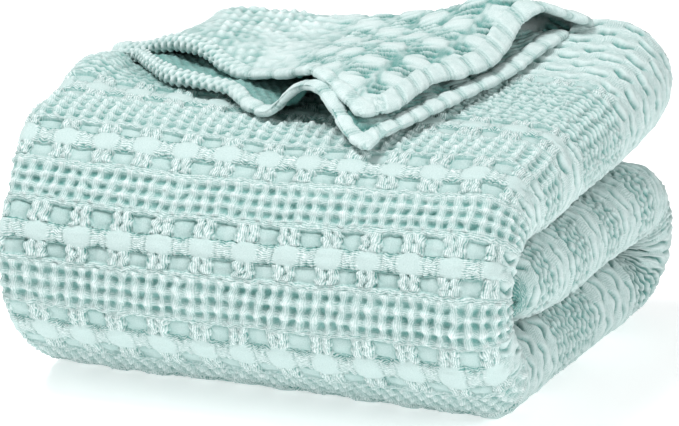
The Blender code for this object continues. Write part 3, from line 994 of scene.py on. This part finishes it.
def flap_base():
    """Middle surface of the flap from its hem to the strip: upper layer, fold, lower layer."""
    small, _, left, _ = fold_sizes(FLAP_TURN_AT)
    upper_x = np.linspace(UPPER_SLIT_X, left, FLAP_COLUMNS)
    lower_x = np.linspace(left, LOWER_SLIT_X, FLAP_COLUMNS)
    folding = np.linspace(0.0, 1.0, FOLD_COLUMNS + 2)[1:-1]
    drop, swell = half_turn(folding)
    strip_x = np.concatenate([upper_x, left - small * swell, lower_x])
    strip_layer = np.concatenate([np.ones(FLAP_COLUMNS), 1.0 - drop, np.zeros(FLAP_COLUMNS)])
    strip = place_on_strip(FLAP_TURN_AT, strip_x, strip_layer)
    back = np.linspace(0.0, 1.0, FLAP_ROWS)
    share = np.linspace(0.0, 1.0, FLAP_COLUMNS)
    upper_rear = (strip[FLAP_COLUMNS - 1], strip[0], 2)
    lower_rear = (strip[-FLAP_COLUMNS], strip[-1], 1)
    upper = flap_layer(share, back, UPPER_FRONT_HEM, UPPER_RIGHT_HEM, upper_rear, UPPER_LOFT)
    lower = flap_layer(share, back, LOWER_FRONT_HEM, LOWER_RIGHT_HEM, lower_rear, LOWER_LOFT)
    top, low = upper[:, :1], lower[:, :1]
    reach = np.linalg.norm(0.5 * (top - low), axis=-1, keepdims=True)
    angle = np.pi * folding[None, :, None]
    fold = turned_over(top, low, angle, reach, np.array([-1.0, 0.0, 0.0]))
    laid = np.concatenate([upper[:, ::-1], fold, lower], axis=1)
    end = laid[-1][None]
    reach = np.abs(0.5 * (strip[None] - end)[..., 2:3])
    angle = (np.pi * np.linspace(1.0, 0.0, CREST_ROWS + 1)[1:])[:, None, None]
    crest = turned_over(strip[None], end, angle, reach, np.array([0.0, 1.0, 0.0]))
    return np.concatenate([laid, crest], axis=0)


def pillow_relief(x, y):
    """Reverse of the weave: smooth oval pillows, drawn in at small gathered knots."""
    leaning = (x - FIRST_KNOT[0]) / PILLOW_WIDTH
    column = np.floor(leaning + 0.5)
    side = (leaning - column) * PILLOW_WIDTH
    place = (y - FIRST_KNOT[1]) / PILLOW_LENGTH - KNOT_SHIFT * column
    row = np.floor(place + 0.5)
    end = (place - row) * PILLOW_LENGTH
    middle = (place - np.floor(place) - 0.5) * PILLOW_LENGTH
    chance = cell_values((column, row), 3.0)
    pillow = np.clip(1.0 - (side / 9.5) ** 2 - (middle / 13.0) ** 2, 0.0, 1.0) ** 0.35
    knot = np.exp(-(side / 7.5) ** 4 - (end / 10.0) ** 2)
    curls = wave((end - 0.6 * side + 2.0 * chance) / 8.5)
    creases = noise(x, y, 6.0, 22) + 0.8 * noise(1.6 * x, 0.7 * y, 3.2, 24)
    return -0.7 + 1.7 * pillow + knot * (0.8 - 5.8 * (0.5 - 0.5 * curls)) + creases * (1.0 - pillow)


def bead_relief(x, y):
    """Reverse of the small cells: rows of soft beads that fade into plain patches."""
    across = wave((x + 0.15 * y) / BEAD_PITCH)
    along = wave((y - 0.1 * x) / (1.5 * BEAD_PITCH))
    beads = ((0.5 + 0.5 * across) * (0.5 + 0.5 * along)) ** 0.8
    strength = 0.35 + noise(x, y, 26.0, 23)
    creases = 0.9 * noise(x, y, 12.0, 25) + 0.8 * noise(x, y, 4.0, 26)
    return 2.2 * (beads - 0.4) * np.clip(strength, 0.1, 1.0) + creases


def flap_relief(x, y):
    """Relief of the flap: small bumps on the left and pillows on the right."""
    share = ramp((x - PILLOWS_FROM + 12.0 * noise(x, y, 40.0, 21)) / 14.0)
    return bead_relief(x, y) * (1.0 - share) + pillow_relief(x, y) * share


def build_flap():
    """The doubled corner flap, its rear turn and its hems."""
    base = flap_base()
    last_row, last_column = base.shape[0] - 1, base.shape[1] - 1
    rows = np.arange(last_row + 1)[:, None]
    columns = np.arange(last_column + 1)[None, :]
    fold = FLAP_COLUMNS + FOLD_COLUMNS // 2
    x, y = base[..., 0], base[..., 1]
    around = y + np.maximum(rows - FLAP_ROWS, 0) * CREST_ROW_STEP
    wobble_x = 1.6 * noise(x, y, 30.0, 31)
    wobble_y = 1.6 * noise(x, y, 30.0, 32)
    height = flap_relief(x + wobble_x, around + wobble_y)
    inner = (columns > fold) * wave(x / BEAD_PITCH) * wave(y / (1.5 * BEAD_PITCH))
    edge = np.minimum(rows, np.minimum(columns, last_column - columns))
    fade = ramp(edge / 7.0) * ramp(np.abs(columns - fold) / 16.0)
    height = (height + 1.1 * inner) * fade
    uneven = 1.2 * noise(x, around, 45.0, 33) + 0.5 * noise(x, around, 16.0, 34)
    facing = np.where(columns < fold, 1.0, -1.0)
    shaded = 0.2 + 0.4 * ramp((x - 40.0) / 20.0)
    tone = tone_of(1.2 * height) * np.where(columns < fold, 1.0, shaded)
    masks = np.stack([0.0 * tone + 0.08, 0.0 * tone + 0.08, tone], axis=-1)
    grid = dressed_grid(base, facing * (FLAP_LIFT + height + uneven), (around, x), masks)
    hems = build_flap_hems(base, outward_normals(base), fold)
    cut_piece("blanket_flap_upper", grid, (0, last_row), (0, fold))
    cut_piece("blanket_flap_lower", grid, (0, last_row), (fold, last_column), 2)


# ---------------- hems
def even_path(edge, inward, outward, step):
    """A hem's edge, its inward and outward directions, at even steps along it."""
    lengths = np.linalg.norm(np.diff(edge, axis=0), axis=1)
    stops = np.concatenate([[0.0], np.cumsum(lengths)])
    at = np.linspace(0.0, stops[-1], max(4, int(stops[-1] / step)))
    read = [at]
    for values in (edge, inward, outward):
        read.append(np.stack([np.interp(at, stops, column) for column in values.T], axis=1))
    return read


def smooth_directions(values, passes=12):
    """Unit directions, averaged with their neighbours along a path."""
    for _ in range(passes):
        padded = np.concatenate([values[:1], values, values[-1:]])
        values = (padded[:-2] + padded[1:-1] + padded[2:]) / 3.0
    return values / np.linalg.norm(values, axis=1, keepdims=True)


def hem_relief(u, v, turn, style, seed):
    """Relief of a hem band: smooth gathered blocks, or knobs like a braided cord's."""
    place = (u + 0.45 * v + 4.0 * noise(u, 0.0 * u, 40.0, seed)) / HEM_BLOCK
    gap = (place - np.floor(place + 0.5)) * HEM_BLOCK
    creases = ((-2.8, 0.6), (0.0, 1.0), (2.8, 0.6))
    crease = sum(depth * np.exp(-((gap - at) / 0.95) ** 2) for at, depth in creases)
    blocks = 0.6 - 1.6 * crease + 0.3 * noise(u, v, 6.0, seed + 1)
    blocks = blocks + 0.3 * noise(u, v, 2.8, seed + 2)
    knobs = 1.7 * wave(u / HEM_KNOB) * np.cos(3.0 * turn) + 0.5 * noise(u, v, 5.0, seed + 3)
    return blocks * (1.0 - style) + knobs * style


def rounded(value, power):
    """Sine or cosine to a power with its sign kept, which squares up a tube's section."""
    return np.sign(value) * np.abs(value) ** power


def make_hem(name, path, sizes, step=HEM_STEP):
    """Flattened tube along a hem's edge, with its blocks and gathers."""
    width, thick, knobby, seed = sizes
    at, edge, inward, outward = even_path(*path, step)
    inward = smooth_directions(inward)
    outward = smooth_directions(outward)
    around = np.linspace(0.0, TAU, HEM_SIDES + 1)
    across, lift = rounded(np.cos(around), 0.8), rounded(np.sin(around), 0.75)
    swell = 1.0 + 0.12 * noise(at, 0.0 * at, 24.0, seed + 5)
    ends = ramp(np.minimum(at, at[-1] - at) / 5.0) * 0.75 + 0.25
    style = np.interp(at, np.linspace(0.0, at[-1], len(knobby)), knobby)
    half_width = (0.5 * width * swell * ends)[:, None, None]
    half_thick = (0.5 * (thick + 3.0 * style) * swell * ends)[:, None, None]
    centre = (edge + inward * 0.5 * width)[:, None, :]
    base = centre - half_width * across[None, :, None] * inward[:, None, :]
    base = base + half_thick * lift[None, :, None] * outward[:, None, :]
    if not faces_out(base):
        base, across, lift = base[:, ::-1], across[::-1], lift[::-1]
    u, v = np.broadcast_arrays(at[:, None], 0.5 * width * across[None, :])
    height = hem_relief(u, v, around[None, :], style[:, None], seed)
    points = base + ring_normals(base) * height[..., None]
    points[..., 2] = np.maximum(points[..., 2], FLOOR_GAP)
    points[:, -1] = points[:, 0]
    weave = np.stack([u, v + 3.0 * lift[None, :]], axis=-1)
    tone = tone_of(1.5 * height - 0.2)
    masks = np.stack([0.0 * tone + 0.06, 0.0 * tone + 0.15, tone], axis=-1)
    return make_piece(name, points, ring_normals(points), weave, masks)


def ring_normals(points):
    """Outward normals of a closed tube of points, its first and last columns being one."""
    wrapped = np.concatenate([points[:, -2:-1], points, points[:, 1:2]], axis=1)
    return outward_normals(wrapped)[:, 1:-1]


def faces_out(points):
    """Whether a closed tube's grid gives normals that point out of it."""
    centre = points[:, :-1].mean(axis=1)[:, None, :]
    return ((points - centre) * ring_normals(points)).sum() > 0.0


def build_flap_hems(base, normals, fold):
    """Front hem of both flap layers, in two lengths, and the two right hems."""
    front, front_in, front_out = base[0], base[INWARD_ROWS] - base[0], normals[OUTWARD_STEPS]
    upper, lower = base[:, 0], base[:, -1]
    upper_in = base[:, INWARD_COLUMNS] - upper
    lower_in = base[:, -1 - INWARD_COLUMNS] - lower
    left, right = slice(0, fold + 6), slice(fold - 5, None)
    paths = {
        "upper_front": (front[left], front_in[left], front_out[left]),
        "upper_right": (upper, upper_in, normals[:, OUTWARD_STEPS]),
        "lower_front": (front[right], front_in[right], front_out[right]),
        "lower_right": (lower, lower_in, normals[:, -1 - OUTWARD_STEPS]),
    }
    return [make_hem("blanket_hem_" + key, path, FLAP_HEMS[key]) for key, path in paths.items()]


def build_side_hems():
    """Hems down the strip's two inner edges."""
    s = np.arange(0.0, STRIP_AT[-1], 2.0)[:, None]
    x = np.full_like(s, SIDE_HEM_X)
    inward = np.tile([1.0, 0.0, 0.0], (len(s), 1))
    for layer, sizes in SIDE_HEMS.items():
        edge = place_on_strip(s, x, layer)[:, 0]
        inner = place_on_strip(s, x, layer + 0.5)[:, 0]
        make_hem("blanket_side_hem_%d" % layer, (edge, inward, edge - inner), sizes, SIDE_HEM_STEP)


build_skin()
build_inner_layers()
build_flap()
build_side_hems()


# ---------------- stage, in metres
FLOOR_HALF = 6.0
FLOOR_GLOW = 0.45
WORLD_LIGHT = 0.34
WHITE = (1.0, 1.0, 1.0, 1.0)
LIT_POINT = Vector((0.0, 0.0, 0.1))
AZIMUTH = math.radians(22.0)
ELEVATION = math.radians(18.5)
FIELD = math.radians(2.4)
FRAME_WIDTH = 0.478
FRAME_RIGHT = -0.0036
FRAME_UP = 0.1024


def build_floor():
    """Pale floor that the pack stands on."""
    corners = [(x * FLOOR_HALF, y * FLOOR_HALF, 0.0) for x, y in ((-1, -1), (1, -1), (1, 1), (-1, 1))]
    mesh = bpy.data.meshes.new("floor")
    mesh.from_pydata(corners, [], [(0, 1, 2, 3)])
    material, _ = new_material("pale_floor", {
        "Base Color": (0.90, 0.90, 0.90, 1.0), "Roughness": 0.9, "Specular IOR Level": 0.1,
        "Emission Color": WHITE, "Emission Strength": FLOOR_GLOW})
    mesh.materials.append(material)
    floor = new_object("floor", mesh)


def add_area_light(name, place, size, power):
    """Square soft box at a place, facing the pack."""
    light = bpy.data.lights.new(name, "AREA")
    light.size = size
    light.energy = power
    lamp = new_object(name, light)
    lamp.location = place
    lamp.rotation_euler = (LIT_POINT - Vector(place)).to_track_quat("-Z", "Y").to_euler()


def build_camera():
    """Long lens at the photograph's angle."""
    right = Vector((math.cos(AZIMUTH), math.sin(AZIMUTH), 0.0))
    view = Vector((
        -math.sin(AZIMUTH) * math.cos(ELEVATION), math.cos(AZIMUTH) * math.cos(ELEVATION),
        -math.sin(ELEVATION)))
    up = right.cross(view)
    distance = 0.5 * FRAME_WIDTH / math.tan(0.5 * FIELD)
    camera_data = bpy.data.cameras.new("camera")
    camera_data.angle = FIELD
    camera_data.clip_end = 100.0
    camera = new_object("camera", camera_data)
    camera.location = right * FRAME_RIGHT + up * FRAME_UP - view * distance
    camera.rotation_euler = view.to_track_quat("-Z", "Y").to_euler()
    bpy.context.scene.camera = camera


def build_world():
    """Even white surroundings."""
    world = bpy.data.worlds.new("studio")
    world.use_nodes = True
    background = world.node_tree.nodes["Background"]
    background.inputs["Color"].default_value = WHITE
    background.inputs["Strength"].default_value = WORLD_LIGHT
    bpy.context.scene.world = world
    bpy.context.scene.view_settings.view_transform = "Standard"


build_floor()
build_camera()
build_world()
add_area_light("key", (-0.8, -0.6, 2.4), 0.8, 53.0)
add_area_light("front", (-0.9, -2.3, 1.2), 1.0, 5.0)
add_area_light("fill", (2.0, -0.9, 1.1), 0.9, 23.0)
